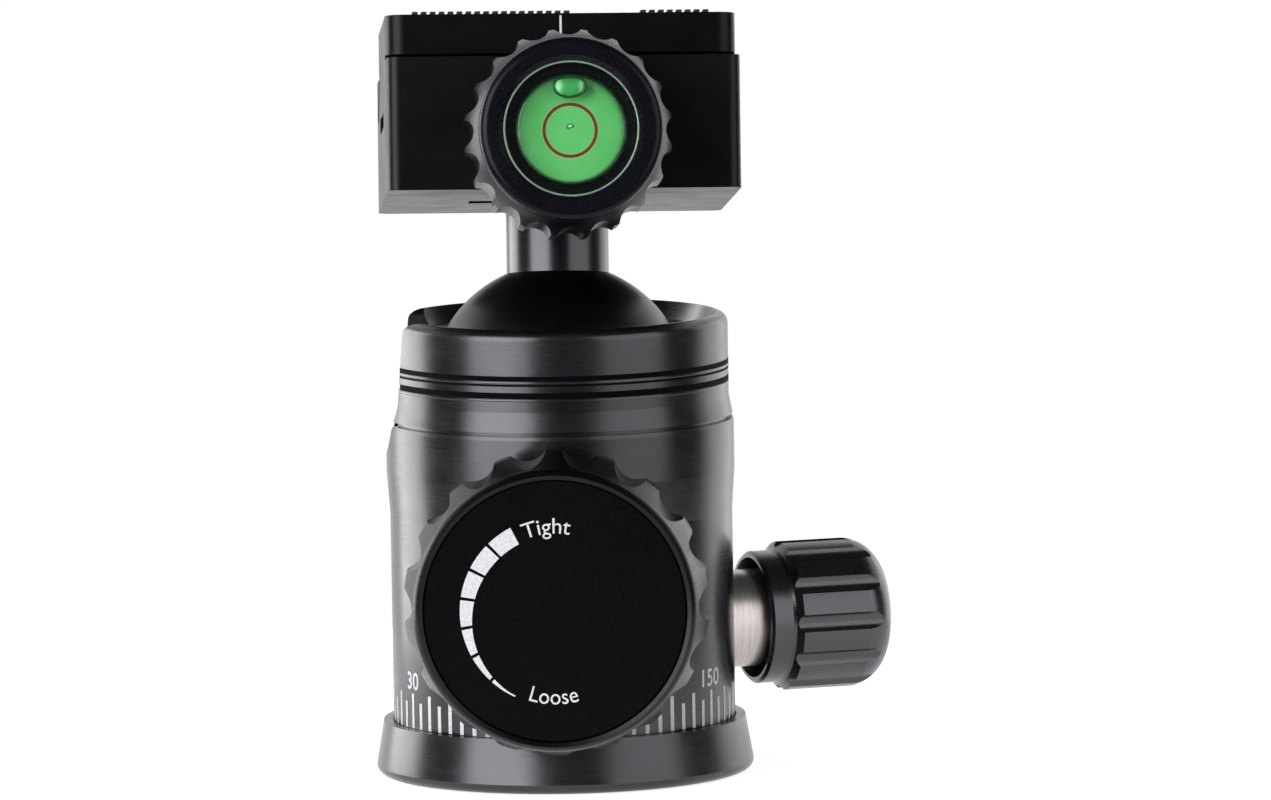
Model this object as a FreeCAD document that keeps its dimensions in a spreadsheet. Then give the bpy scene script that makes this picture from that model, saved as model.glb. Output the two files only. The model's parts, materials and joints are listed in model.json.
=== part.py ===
import FreeCAD, Part
import math
import os
import re
import Sketcher

# Tripod ball head. Millimetres and degrees, +Z up, origin at the middle of the underside of the base.
# The main knob points to -Y, the drop notch opens to -X and the head rests tilted back by rest_tilt.

SIZES = {
    # gaps
    "run_gap": 0.05,
    "fit_gap": 0.02,
    # base ring
    "base_foot_radius": 25.1,
    "base_radius": 26.05,
    "base_top_radius": 25.0,
    "base_height": 7.4,
    "base_bevel": 1.3,
    "base_floor": 6.6,
    # tripod thread
    "thread_radius": 4.7625,
    "thread_length": 10.0,
    "insert_radius": 6.8,
    "insert_flange_radius": 8.4,
    "insert_flange": 1.8,
    # pan bearing
    "hub_radius": 15.0,
    "drum_radius": 17.9,
    "drum_top": 20.9,
    "retainer_top": 10.6,
    "retainer_radius": 21.15,
    "washer_thickness": 0.6,
    "base_screw_circle": 11.5,
    "base_screw_count": 3,
    "retainer_screw_circle": 19.55,
    "retainer_screw_count": 6,
    "retainer_screw_azimuth": 20,
    # housing
    "housing_radius": 23.6,
    "bulge_radius": 24.0,
    "bulge_start": 36.0,
    "bulge_low": 42.0,
    "lip_height": 48.2,
    "step_groove_low": 48.7,
    "step_groove_high": 49.3,
    "step_top": 51.3,
    "collar_radius": 23.35,
    "rim_height": 63.2,
    "rim_round": 1.5,
    "rim_inner_radius": 21.8,
    "groove_low": 54.4,
    "groove_high": 56.6,
    "groove_width": 0.6,
    "groove_depth": 0.45,
    "cup_bore_radius": 16.55,
    "cup_floor": 27.3,
    "cavity_radius": 19.2,
    "cavity_low": 42.6,
    "seat_bore_radius": 20.6,
    "seat_low": 52.8,
    "seat_high": 60.8,
    "notch_radius": 8.0,
    "notch_top_half": 10.0,
    # ball and stem
    "ball_radius": 18.0,
    "ball_height": 52.2,
    "stem_radius": 7.05,
    "stem_bottom": 4.0,
    "liner_thickness": 0.8,
    "liner_angle": 35,
    "rest_tilt": 8.7,
    "rest_turn": 4.0,
    "clamp_height": 26.5,
    # main lock
    "main_axis_height": 27.0,
    "wedge_radius": 4.0,
    "wedge_tail": 16.0,
    "wedge_tip": 9.0,
    "ramp_start": 7.0,
    "ramp_angle": 20,
    "wedge_travel": 1.25,
    "main_bushing_radius": 7.0,
    "main_bushing_flange": 10.5,
    "main_bushing_end": 26.2,
    "main_knob_start": 27.2,
    "main_knob_radius": 20.7,
    "main_knob_waist": 19.3,
    "main_knob_face": 17.75,
    "main_knob_depth": 13.6,
    "main_knob_flutes": 18,
    "main_flute_share": 0.68,
    "main_cap_thickness": 1.2,
    # pan lock
    "pan_azimuth": 110,
    "pan_axis_height": 19.5,
    "shoe_radius": 3.5,
    "pan_shaft_radius": 3.0,
    "pan_bushing_radius": 6.75,
    "brake_travel": 1.0,
    "pan_bushing_start": 21.4,
    "pan_bushing_end": 30.4,
    "pan_knob_start": 27.5,
    "pan_knob_collar": 9.2,
    "pan_knob_radius": 10.35,
    "pan_knob_waist": 9.6,
    "pan_knob_length": 18.5,
    "pan_knob_flutes": 12,
    "pan_flute_share": 0.45,
    # clamp
    "clamp_width": 48.0,
    "clamp_front": 27.0,
    "clamp_back": 24.0,
    "jaw_split": 17.5,
    "jaw_top": 18.1,
    "channel_floor": 12.2,
    "relief_floor": 9.9,
    "relief_half": 8.2,
    "clamp_corner": 1.6,
    "pin_radius": 2.0,
    "pin_spread": 17.0,
    "jaw_travel": 3.0,
    # clamp knob
    "clamp_screw_height": 6.7,
    "clamp_screw_radius": 3.0,
    "clamp_knob_radius": 14.0,
    "clamp_knob_waist": 12.4,
    "clamp_knob_depth": 21.8,
    "clamp_knob_flutes": 20,
    "clamp_flute_share": 0.82,
    "clamp_flute_floor": 12.9,
    "level_radius": 9.2,
    "level_disc_radius": 7.55,
    "level_depth": 6.0,
    "bubble_radius": 2.1,
    # quick-release plate
    "plate_length": 47.8,
    "plate_half": 19.0,
    "dovetail_side": 1.2,
    "dovetail_rise": 3.5,
    "plate_neck_gap": 1.0,
    "plate_slab": 5.4,
    "plate_corner": 2.5,
    "pad_recess": 0.8,
    "pad_stand": 0.5,
    "rib_pitch": 1.22,
    "pad_left_start": -20.4,
    "pad_left_ribs": 18,
    "pad_right_start": 10.8,
    "pad_right_ribs": 8,
    "stud_radius": 3.175,
    "screw_head_radius": 7.5,
    "screw_head": 3.0,
    "screw_lift": 5.0,
    "screw_slot_half": 7.0,
    "screw_place": 6.2,
    "screw_ceiling": 5.7,
    "screw_washer": 0.6,
}

doc = FreeCAD.newDocument("ball_head")
sheet = doc.addObject("Spreadsheet::Sheet", "sizes")
for row, (name, number) in enumerate(SIZES.items(), start=1):
    sheet.set(f"A{row}", name)
    sheet.set(f"B{row}", str(number))
    sheet.setAlias(f"B{row}", name)
doc.recompute()

nodes = []


def linked(text):
    """A formula in plain size names, as an expression on the sheet's cells."""
    return re.sub(r"[A-Za-z_]\w*", lambda w: f"sizes.{w[0]}" if w[0] in SIZES else w[0], str(text))


def value(text):
    return float(sheet.evalExpression(linked(text)))


def hold(sketch, kind, geometry, vertex, text):
    """One coordinate of a vertex, measured from the sketch's origin and bound to the sheet."""
    axis = {"DistanceX": -2, "DistanceY": -1}[kind]
    number = value(text)
    if abs(number) < 1e-9:
        sketch.addConstraint(Sketcher.Constraint("PointOnObject", geometry, vertex, axis))
        return
    index = sketch.addConstraint(Sketcher.Constraint(kind, -1, 1, geometry, vertex, number))
    sketch.setExpression(f"Constraints[{index}]", linked(text))


def arc_between(start, end, radius, side):
    """The short arc from start to end with its centre on the left (1) or right (-1) of the way."""
    chord = end - start
    half = chord.Length / 2
    across = FreeCAD.Vector(-chord.y, chord.x, 0).normalize()
    centre = (start + end) / 2 + across * side * math.sqrt(max(radius**2 - half**2, 0))
    first, last = (start, end) if side > 0 else (end, start)
    angles = [math.atan2(p.y - centre.y, p.x - centre.x) for p in (first, last)]
    circle = Part.Circle(centre, FreeCAD.Vector(0, 0, 1), radius)
    return Part.ArcOfCircle(circle, angles[0], angles[1] + (2 * math.pi if angles[1] < angles[0] else 0))


def outline(sketch, points, arcs=None):
    """A closed outline through points given as formulas; arcs maps a side to (radius, centre side)."""
    arcs = arcs or {}
    spots = [FreeCAD.Vector(value(x), value(y), 0) for x, y in points]
    ends = []
    for i, spot in enumerate(spots):
        after = spots[(i + 1) % len(spots)]
        if i in arcs:
            radius, side = arcs[i]
            index = sketch.addGeometry(arc_between(spot, after, value(radius), side), False)
            ends.append((index, 1, 2) if side > 0 else (index, 2, 1))
        else:
            index = sketch.addGeometry(Part.LineSegment(spot, after), False)
            ends.append((index, 1, 2))
    for i, (index, start, end) in enumerate(ends):
        after = ends[(i + 1) % len(ends)]
        sketch.addConstraint(Sketcher.Constraint("Coincident", index, end, after[0], after[1]))
        hold(sketch, "DistanceX", index, start, points[i][0])
        hold(sketch, "DistanceY", index, start, points[i][1])
    for i, (radius, side) in arcs.items():
        index = sketch.addConstraint(Sketcher.Constraint("Radius", ends[i][0], value(radius)))
        sketch.setExpression(f"Constraints[{index}]", linked(radius))


def ring(sketch, radius, x=0, y=0):
    """A circle whose radius and centre are bound to the sheet."""
    centre = FreeCAD.Vector(value(x), value(y), 0)
    circle = Part.Circle(centre, FreeCAD.Vector(0, 0, 1), value(radius))
    index = sketch.addGeometry(circle, False)
    size = sketch.addConstraint(Sketcher.Constraint("Radius", index, value(radius)))
    sketch.setExpression(f"Constraints[{size}]", linked(radius))
    hold(sketch, "DistanceX", index, 3, x)
    hold(sketch, "DistanceY", index, 3, y)


def dome(radius, rise):
    """The radius of the sphere whose cap has this radius and rise."""
    return f"((({radius})^2 + ({rise})^2) / (2 * ({rise})))"


def box(sketch, left, right, low, high):
    """A rectangle between four formulas."""
    outline(sketch, [(left, low), (right, low), (right, high), (left, high)])


def origin_part(body, role):
    return next(f for f in body.Origin.OriginFeatures if f.Role == role)


def new_body(label):
    body = doc.addObject("PartDesign::Body", label)
    body.Label = label
    body.AllowCompound = True
    nodes.append(body)
    return body


def sketch_on(body, plane, lift="0", azimuth=None):
    """A sketch on an origin plane, lifted along its normal, or turned to an azimuth from -Y toward +X."""
    sketch = body.newObject("Sketcher::SketchObject", f"{body.Label}_sketch")
    sketch.AttachmentSupport = [(origin_part(body, plane), "")]
    sketch.MapMode = "FlatFace"
    if azimuth is None:
        sketch.setExpression("AttachmentOffset.Base.z", linked(lift))
        return sketch
    sketch.AttachmentOffset = FreeCAD.Placement(
        FreeCAD.Vector(0, 0, 0), FreeCAD.Rotation(FreeCAD.Vector(0, 1, 0), value(azimuth))
    )
    sketch.setExpression("AttachmentOffset.Rotation.Angle", linked(azimuth))
    sketch.setExpression("AttachmentOffset.Base.x", linked(f"({lift}) * sin({azimuth})"))
    sketch.setExpression("AttachmentOffset.Base.z", linked(f"({lift}) * cos({azimuth})"))
    return sketch


def revolve(body, points, arcs=None, kind="PartDesign::Revolution"):
    """A body of revolution about the vertical axis, from points as (radius, height)."""
    sketch = sketch_on(body, "XZ_Plane")
    outline(sketch, points, arcs)
    feature = body.newObject(kind, f"{body.Label}_turned")
    feature.Profile = sketch
    feature.ReferenceAxis = (sketch, ["V_Axis"])
    feature.Angle = 360
    return feature


def groove(body, points, arcs=None):
    return revolve(body, points, arcs, "PartDesign::Groove")


def extrude(body, sketch, length, kind="PartDesign::Pad", back=False, both=False):
    feature = body.newObject(kind, f"{body.Label}_cut" if kind.endswith("Pocket") else f"{body.Label}_pad")
    feature.Profile = sketch
    feature.setExpression("Length", linked(length))
    feature.Reversed = back
    if both:
        feature.SideType = "Symmetric"
    return feature


def pocket(body, sketch, length, back=False, both=False):
    return extrude(body, sketch, length, "PartDesign::Pocket", back, both)


def around(body, features, count):
    """Repeats features evenly about the vertical axis."""
    pattern = body.newObject("PartDesign::PolarPattern", f"{body.Label}_pattern")
    pattern.Originals = features
    pattern.Axis = (origin_part(body, "Z_Axis"), [""])
    pattern.Angle = 360
    pattern.setExpression("Occurrences", linked(count))
    body.Tip = pattern
    return pattern


def soften(body, feature, radius, wanted):
    """Rounds the edges of a feature that wanted picks out."""
    doc.recompute()
    names = [f"Edge{i}" for i, edge in enumerate(feature.Shape.Edges, start=1) if wanted(edge)]
    fillet = body.newObject("PartDesign::Fillet", f"{body.Label}_round")
    fillet.Base = (feature, names)
    fillet.setExpression("Radius", linked(radius))
    body.Tip = fillet
    return fillet


def flute(body, outer, waist, count, share, low, high):
    """Cuts evenly spaced hollows that take a share of the rim and leave crests between them."""
    half = f"(180 * {share} / {count})"
    circle = f"((({outer})^2 - ({waist})^2) / (2 * (({outer}) * cos({half}) - ({waist}))))"
    sketch = sketch_on(body, "XY_Plane", high)
    ring(sketch, f"{circle} - ({waist})", circle, 0)
    cut = pocket(body, sketch, f"({high}) - ({low})")
    return around(body, [cut], count)


def upright(edge):
    """True for a straight edge along the body's height."""
    ends = [v.Point for v in edge.Vertexes]
    return len(ends) == 2 and abs(ends[0].x - ends[1].x) < 1e-6 and abs(ends[0].y - ends[1].y) < 1e-6


# Placements

ACROSS = FreeCAD.Vector(1, 0, 0)
UP = FreeCAD.Vector(0, 0, 1)


def moved(x, y, z):
    return FreeCAD.Placement(FreeCAD.Vector(x, y, z), FreeCAD.Rotation())


def turned(axis, angle):
    return FreeCAD.Placement(FreeCAD.Vector(), FreeCAD.Rotation(axis, angle))


def outward(azimuth, distance, height):
    """A frame whose +Z points away from the middle at an azimuth from -Y toward +X."""
    return moved(0, 0, height) * turned(UP, azimuth) * turned(ACROSS, 90) * moved(0, 0, distance)


AT_BALL = moved(0, 0, value("ball_height")) * turned(ACROSS, -value("rest_tilt"))
AT_CLAMP = AT_BALL * turned(UP, value("rest_turn")) * moved(0, 0, value("clamp_height"))


# Base


def base_ring():
    body = new_body("base_ring")
    revolve(
        body,
        [
            ("insert_radius + fit_gap", "insert_flange + fit_gap"),
            ("insert_flange_radius + fit_gap", "insert_flange + fit_gap"),
            ("insert_flange_radius + fit_gap", "0"),
            ("base_foot_radius", "0"),
            ("base_radius", "base_bevel"),
            ("base_top_radius", "base_height"),
            ("housing_radius + 0.15", "base_height"),
            ("housing_radius + 0.15", "base_floor"),
            ("insert_radius + fit_gap", "base_floor"),
        ],
        {3: ("base_bevel", 1)},
    )
    cuts = []
    for radius, high in (("2.8", "2.1"), ("1.62", "base_floor")):
        sketch = sketch_on(body, "XY_Plane")
        ring(sketch, radius, "base_screw_circle")
        cuts.append(pocket(body, sketch, high, back=True))
    around(body, cuts, "base_screw_count")


def thread_insert():
    body = new_body("thread_insert")
    revolve(
        body,
        [
            ("thread_radius", "0"),
            ("insert_flange_radius", "0"),
            ("insert_flange_radius", "insert_flange"),
            ("insert_radius", "insert_flange"),
            ("insert_radius", "thread_length"),
            ("thread_radius", "thread_length"),
        ],
    )


def pan_spindle():
    body = new_body("pan_spindle")
    revolve(
        body,
        [
            ("insert_radius + fit_gap", "base_floor"),
            ("hub_radius", "base_floor"),
            ("hub_radius", "retainer_top + run_gap"),
            ("drum_radius", "retainer_top + run_gap"),
            ("drum_radius", "drum_top - 0.5"),
            ("drum_radius - 0.5", "drum_top"),
            ("0", "drum_top"),
            ("0", "thread_length + fit_gap"),
            ("insert_radius + fit_gap", "thread_length + fit_gap"),
        ],
    )
    sketch = sketch_on(body, "XY_Plane", "base_floor")
    ring(sketch, "1.52", "base_screw_circle")
    around(body, [pocket(body, sketch, "8.5", back=True)], "base_screw_count")


def base_screws():
    body = new_body("base_screws")
    pads = []
    for radius, low, high in (("2.7", "0.3", "2.05"), ("1.5", "2.05", "14.5")):
        sketch = sketch_on(body, "XY_Plane", low)
        ring(sketch, radius, "base_screw_circle")
        pads.append(extrude(body, sketch, f"{high} - {low}"))
    sketch = sketch_on(body, "XY_Plane", "0.3")
    ring(sketch, "1.0", "base_screw_circle")
    around(body, [*pads, pocket(body, sketch, "1.2", back=True)], "base_screw_count")


def glide_washer():
    body = new_body("glide_washer")
    revolve(
        body,
        [
            ("hub_radius + 0.5", "base_floor"),
            ("retainer_radius - 0.5", "base_floor"),
            ("retainer_radius - 0.5", "base_floor + washer_thickness"),
            ("hub_radius + 0.5", "base_floor + washer_thickness"),
        ],
    )


# Housing


def cut_notch(body):
    """The U-shaped slot toward -X: a round bottom level with the ball's middle and sides that open up."""
    sketch = sketch_on(body, "YZ_Plane")
    side = "notch_top_half"
    outline(
        sketch,
        [
            ("-notch_radius", "ball_height"),
            ("0", "ball_height - notch_radius"),
            ("notch_radius", "ball_height"),
            (side, "rim_height - rim_round"),
            (f"{side} + rim_round", "rim_height"),
            (f"{side} + rim_round", "rim_height + 4"),
            (f"-{side} - rim_round", "rim_height + 4"),
            (f"-{side} - rim_round", "rim_height"),
            (f"-{side}", "rim_height - rim_round"),
        ],
        {0: ("notch_radius", 1), 1: ("notch_radius", 1), 3: ("rim_round", -1), 7: ("rim_round", -1)},
    )
    return pocket(body, sketch, "bulge_radius + 6")


def housing():
    body = new_body("housing")
    low = "base_floor + 0.3"
    wall = "seat_bore_radius"
    revolve(
        body,
        [
            ("0", "drum_top + 0.1"),
            ("drum_radius + 0.1", "drum_top + 0.1"),
            ("drum_radius + 0.1", "retainer_top"),
            ("retainer_radius + run_gap", "retainer_top"),
            ("retainer_radius + run_gap", low),
            ("housing_radius", low),
            ("housing_radius", "bulge_start"),
            ("bulge_radius", "bulge_low"),
            ("bulge_radius", "lip_height"),
            ("bulge_radius - 0.15", "step_groove_low"),
            ("bulge_radius - 0.8", "step_groove_low"),
            ("bulge_radius - 0.8", "step_groove_high"),
            ("bulge_radius - 0.15", "step_groove_high"),
            ("collar_radius + 0.1", "step_top"),
            ("collar_radius", "step_top + 0.7"),
            ("collar_radius", "groove_low - groove_width / 2"),
            ("collar_radius - groove_depth", "groove_low - groove_width / 2"),
            ("collar_radius - groove_depth", "groove_low + groove_width / 2"),
            ("collar_radius", "groove_low + groove_width / 2"),
            ("collar_radius", "groove_high - groove_width / 2"),
            ("collar_radius - groove_depth", "groove_high - groove_width / 2"),
            ("collar_radius - groove_depth", "groove_high + groove_width / 2"),
            ("collar_radius", "groove_high + groove_width / 2"),
            ("collar_radius", "rim_height - rim_round"),
            ("collar_radius - rim_round", "rim_height"),
            ("rim_inner_radius", "rim_height"),
            (wall, "seat_high"),
            (wall, "seat_low"),
            ("cavity_radius", "seat_low"),
            ("cavity_radius", "cavity_low"),
            ("cup_bore_radius", "cavity_low"),
            ("cup_bore_radius", "cup_floor"),
            ("0", "cup_floor"),
        ],
        {23: ("rim_round", 1)},
    )
    cut_notch(body)
    sketch = sketch_on(body, "XZ_Plane", "-wedge_tip - 1.5")
    ring(sketch, "wedge_radius + run_gap", 0, "main_axis_height")
    pocket(body, sketch, "wedge_tip + 1.5 + housing_radius", back=True)
    sketch = sketch_on(body, "XZ_Plane", "drum_radius + 0.6")
    ring(sketch, "main_bushing_radius + fit_gap", 0, "main_axis_height")
    pocket(body, sketch, "12", back=True)
    sketch = sketch_on(body, "XZ_Plane", "drum_radius - 1", "pan_azimuth")
    ring(sketch, "shoe_radius + run_gap", 0, "pan_axis_height")
    pocket(body, sketch, "10", back=True)
    sketch = sketch_on(body, "XZ_Plane", "pan_bushing_start", "pan_azimuth")
    ring(sketch, "pan_bushing_radius + fit_gap", 0, "pan_axis_height")
    pocket(body, sketch, "10", back=True)
    sketch = sketch_on(body, "XY_Plane", "retainer_top")
    ring(
        sketch,
        "1.12",
        "retainer_screw_circle * sin(retainer_screw_azimuth)",
        "-retainer_screw_circle * cos(retainer_screw_azimuth)",
    )
    around(body, [pocket(body, sketch, "3.2", back=True)], "retainer_screw_count")


def seat_ring():
    body = new_body("seat_ring")
    seat = "(ball_radius + run_gap)"
    outer = "seat_bore_radius - fit_gap"
    foot = "seat_low - ball_height"
    crest = 6.3
    revolve(
        body,
        [
            (f"sqrt({seat}^2 - ({foot})^2)", "seat_low"),
            (outer, "seat_low"),
            (outer, "seat_high"),
            (f"{outer} - 0.4", "seat_high"),
            (f"sqrt({seat}^2 - {crest}^2)", f"ball_height + {crest}"),
        ],
        {4: (seat, -1)},
    )
    cut_notch(body)


def pan_retainer():
    body = new_body("pan_retainer")
    low = "base_floor + washer_thickness + run_gap"
    revolve(
        body,
        [
            ("hub_radius + run_gap", low),
            ("retainer_radius", low),
            ("retainer_radius", "retainer_top"),
            ("hub_radius + run_gap", "retainer_top"),
        ],
    )
    cuts = []
    for radius, depth in (("1.55", "1.5"), ("1.12", "4")):
        sketch = sketch_on(body, "XY_Plane", low)
        ring(
            sketch,
            radius,
            "retainer_screw_circle * sin(retainer_screw_azimuth)",
            "-retainer_screw_circle * cos(retainer_screw_azimuth)",
        )
        cuts.append(pocket(body, sketch, depth, back=True))
    around(body, cuts, "retainer_screw_count")


def retainer_screws():
    body = new_body("retainer_screws")
    low = "base_floor + washer_thickness + run_gap"
    pads = []
    for radius, start, length in (("1.5", "0.1", "1.38"), ("1.1", "1.48", "5")):
        sketch = sketch_on(body, "XY_Plane", f"{low} + {start}")
        ring(
            sketch,
            radius,
            "retainer_screw_circle * sin(retainer_screw_azimuth)",
            "-retainer_screw_circle * cos(retainer_screw_azimuth)",
        )
        pads.append(extrude(body, sketch, length))
    around(body, pads, "retainer_screw_count")


def main_bushing():
    """Modelled about +Z, then laid along the main knob's axis."""
    body = new_body("main_bushing")
    revolve(
        body,
        [
            ("wedge_radius + run_gap", "drum_radius + 0.6"),
            ("main_bushing_radius", "drum_radius + 0.6"),
            ("main_bushing_radius", "bulge_radius"),
            ("main_bushing_flange", "bulge_radius"),
            ("main_bushing_flange", "main_bushing_end - 0.5"),
            ("main_bushing_flange - 0.5", "main_bushing_end"),
            ("wedge_radius + run_gap", "main_bushing_end"),
        ],
    )
    body.Placement = outward(0, 0, value("main_axis_height"))


def pan_bushing():
    body = new_body("pan_bushing")
    revolve(
        body,
        [
            ("pan_shaft_radius + run_gap", "pan_bushing_start"),
            ("pan_bushing_radius", "pan_bushing_start"),
            ("pan_bushing_radius", "pan_bushing_end - 0.4"),
            ("pan_bushing_radius - 0.4", "pan_bushing_end"),
            ("pan_shaft_radius + run_gap", "pan_bushing_end"),
        ],
    )
    body.Placement = outward(value("pan_azimuth"), 0, value("pan_axis_height"))


# Lock of the ball


def ball_cup():
    body = new_body("ball_cup")
    seat = "(ball_radius + liner_thickness + 2 * run_gap)"
    top = "(cavity_low - 1.1)"
    low = "cup_floor + 0.7"
    revolve(
        body,
        [
            ("0", low),
            ("cup_bore_radius - run_gap", low),
            ("cup_bore_radius - run_gap", top),
            (f"sqrt({seat}^2 - (ball_height - {top})^2)", top),
            ("0", f"ball_height - {seat}"),
        ],
        {3: (seat, -1)},
    )
    slope = "tan(ramp_angle)"
    ceiling = "(main_axis_height + wedge_radius + 0.6)"
    crest = "(main_axis_height + wedge_radius + run_gap)"
    sketch = sketch_on(body, "YZ_Plane")
    outline(
        sketch,
        [
            ("-cup_bore_radius - 1", f"{low} - 1"),
            (f"({crest} - ({low} - 1)) / {slope} - ramp_start", f"{low} - 1"),
            (f"({crest} - {ceiling}) / {slope} - ramp_start", ceiling),
            ("-cup_bore_radius - 1", ceiling),
        ],
    )
    pocket(body, sketch, "2 * wedge_radius + 0.3", both=True)


def ball_liner():
    body = new_body("ball_liner")
    inner = "(ball_radius + run_gap)"
    outer = "(ball_radius + run_gap + liner_thickness)"
    revolve(
        body,
        [
            ("0", f"-{outer}"),
            (f"{outer} * sin(liner_angle)", f"-{outer} * cos(liner_angle)"),
            (f"{inner} * sin(liner_angle)", f"-{inner} * cos(liner_angle)"),
            ("0", f"-{inner}"),
        ],
        {0: (outer, 1), 2: (inner, -1)},
    )
    body.Placement = AT_BALL


def main_wedge():
    """A plunger along +Z of the main axis with a sloped flat on its upper side."""
    body = new_body("main_wedge")
    sketch = sketch_on(body, "XZ_Plane", "-wedge_tip")
    ring(sketch, "wedge_radius", 0, "main_axis_height")
    extrude(body, sketch, "wedge_tip + wedge_tail")
    slope = "tan(ramp_angle)"
    crest = "(main_axis_height + wedge_radius)"
    sketch = sketch_on(body, "YZ_Plane")
    outline(
        sketch,
        [
            ("-ramp_start", crest),
            ("wedge_tip + 1", f"{crest} - (wedge_tip + 1 + ramp_start) * {slope}"),
            ("wedge_tip + 1", f"{crest} + 1"),
            ("-ramp_start", f"{crest} + 1"),
        ],
    )
    pocket(body, sketch, "4 * wedge_radius", both=True)


def main_shaft():
    body = new_body("main_shaft")
    revolve(
        body,
        [
            ("0", "wedge_tail + fit_gap"),
            ("wedge_radius", "wedge_tail + fit_gap"),
            ("wedge_radius", "main_knob_start + main_knob_depth - 3"),
            ("0", "main_knob_start + main_knob_depth - 3"),
        ],
    )
    body.Placement = outward(0, 0, value("main_axis_height"))


def main_knob():
    """The flared, fluted knob; its flutes run out before the smooth rim of the face."""
    body = new_body("main_knob")
    depth = "main_knob_depth"
    floor = f"{depth} - 0.5 - main_cap_thickness"
    turned_form = revolve(
        body,
        [
            ("wedge_radius + fit_gap", "0"),
            ("main_bushing_flange - 1.5", "0"),
            ("main_bushing_flange - 1.5", "4.5"),
            ("main_knob_waist - 3.3", "4.5"),
            ("main_knob_waist - 2.3", "0.4"),
            ("main_knob_radius - 0.8", "0.4"),
            ("main_knob_radius", "1.6"),
            ("main_knob_radius", "5"),
            ("main_knob_waist - 0.05", f"{depth} - 2.2"),
            ("main_knob_face + 0.65", depth),
            ("main_knob_face + 0.1", f"{depth} - 0.25"),
            ("main_knob_face + fit_gap", f"{depth} - 0.6"),
            ("main_knob_face + fit_gap", floor),
            ("wedge_radius + fit_gap", floor),
        ],
        {7: ("3.2 * main_knob_radius", 1), 8: ("2.4", 1)},
    )
    flute(body, "main_knob_radius", "main_knob_waist", "main_knob_flutes", "main_flute_share", "-1", f"{depth} + 1")
    body.Placement = outward(0, value("main_knob_start"), value("main_axis_height"))


def main_knob_cap():
    body = new_body("main_knob_cap")
    low = "main_knob_depth - 0.5 - main_cap_thickness + fit_gap"
    revolve(
        body,
        [
            ("0", low),
            ("main_knob_face", low),
            ("main_knob_face", f"{low} + main_cap_thickness - 0.2"),
            ("main_knob_face - 0.2", f"{low} + main_cap_thickness"),
            ("0", f"{low} + main_cap_thickness"),
        ],
    )
    body.Placement = outward(0, value("main_knob_start"), value("main_axis_height"))


# Lock of the pan


def pan_shoe():
    """A short plunger with an end hollowed to the drum."""
    body = new_body("pan_shoe")
    sketch = sketch_on(body, "XZ_Plane", "drum_radius - 1", "pan_azimuth")
    ring(sketch, "shoe_radius", 0, "pan_axis_height")
    extrude(body, sketch, "pan_bushing_start - brake_travel - 2 * run_gap - drum_radius + 1")
    groove(
        body,
        [
            ("0", "pan_axis_height - shoe_radius - 1"),
            ("drum_radius + run_gap + 0.08", "pan_axis_height - shoe_radius - 1"),
            ("drum_radius + run_gap + 0.08", "pan_axis_height + shoe_radius + 1"),
            ("0", "pan_axis_height + shoe_radius + 1"),
        ],
    )


def pan_shaft():
    body = new_body("pan_shaft")
    revolve(
        body,
        [
            ("0", "pan_bushing_start - brake_travel - run_gap"),
            ("pan_shaft_radius", "pan_bushing_start - brake_travel - run_gap"),
            ("pan_shaft_radius", "pan_knob_start + pan_knob_length - 4"),
            ("0", "pan_knob_start + pan_knob_length - 4"),
        ],
    )
    body.Placement = outward(value("pan_azimuth"), 0, value("pan_axis_height"))


def pan_knob():
    body = new_body("pan_knob")
    length = "pan_knob_length"
    revolve(
        body,
        [
            ("pan_shaft_radius + fit_gap", "4.2"),
            ("pan_bushing_radius + 0.3", "4.2"),
            ("pan_bushing_radius + 1.6", "0"),
            ("pan_knob_collar - 0.4", "0"),
            ("pan_knob_collar", "0.4"),
            ("pan_knob_collar", "3.1"),
            ("pan_knob_collar + 0.2", "3.5"),
            ("pan_knob_radius", "4.3"),
            ("pan_knob_radius", f"{length} - 4.5"),
            ("pan_knob_radius - 2.6", f"{length} - 0.6"),
            ("pan_knob_radius - 3.2", f"{length} - 1.2"),
            ("pan_knob_radius - 3.2", f"{length} - 2.2"),
            ("pan_shaft_radius + fit_gap", f"{length} - 2.2"),
        ],
        {8: ("5.2", 1)},
    )
    flute(body, "pan_knob_radius", "pan_knob_waist", "pan_knob_flutes", "pan_flute_share", "3.3", f"{length} + 1")
    body.Placement = outward(value("pan_azimuth"), value("pan_knob_start"), value("pan_axis_height"))


def pan_knob_cap():
    body = new_body("pan_knob_cap")
    length = "pan_knob_length"
    revolve(
        body,
        [
            ("0", f"{length} - 2.2 + fit_gap"),
            ("pan_knob_radius - 3.25", f"{length} - 2.2 + fit_gap"),
            ("pan_knob_radius - 3.25", f"{length} - 0.7"),
            ("0", length),
        ],
        {2: (dome("pan_knob_radius - 3.25", "0.7"), 1)},
    )
    body.Placement = outward(value("pan_azimuth"), value("pan_knob_start"), value("pan_axis_height"))


# Ball, stem and clamp


def ball():
    body = new_body("ball")
    bore = "(stem_radius + fit_gap)"
    revolve(
        body,
        [
            ("0", "-ball_radius"),
            (bore, f"sqrt(ball_radius^2 - {bore}^2)"),
            (bore, "stem_bottom - fit_gap"),
            ("0", "stem_bottom - fit_gap"),
        ],
        {0: ("ball_radius", 1)},
    )
    body.Placement = AT_BALL


def stem():
    body = new_body("stem")
    revolve(
        body,
        [
            ("0", "stem_bottom"),
            ("stem_radius", "stem_bottom"),
            ("stem_radius", "clamp_height"),
            ("5", "clamp_height"),
            ("5", "clamp_height + 2.9"),
            ("2.52", "clamp_height + 2.9"),
            ("2.52", "clamp_height - 12.5"),
            ("0", "clamp_height - 12.5"),
        ],
    )
    body.Placement = AT_BALL


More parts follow.
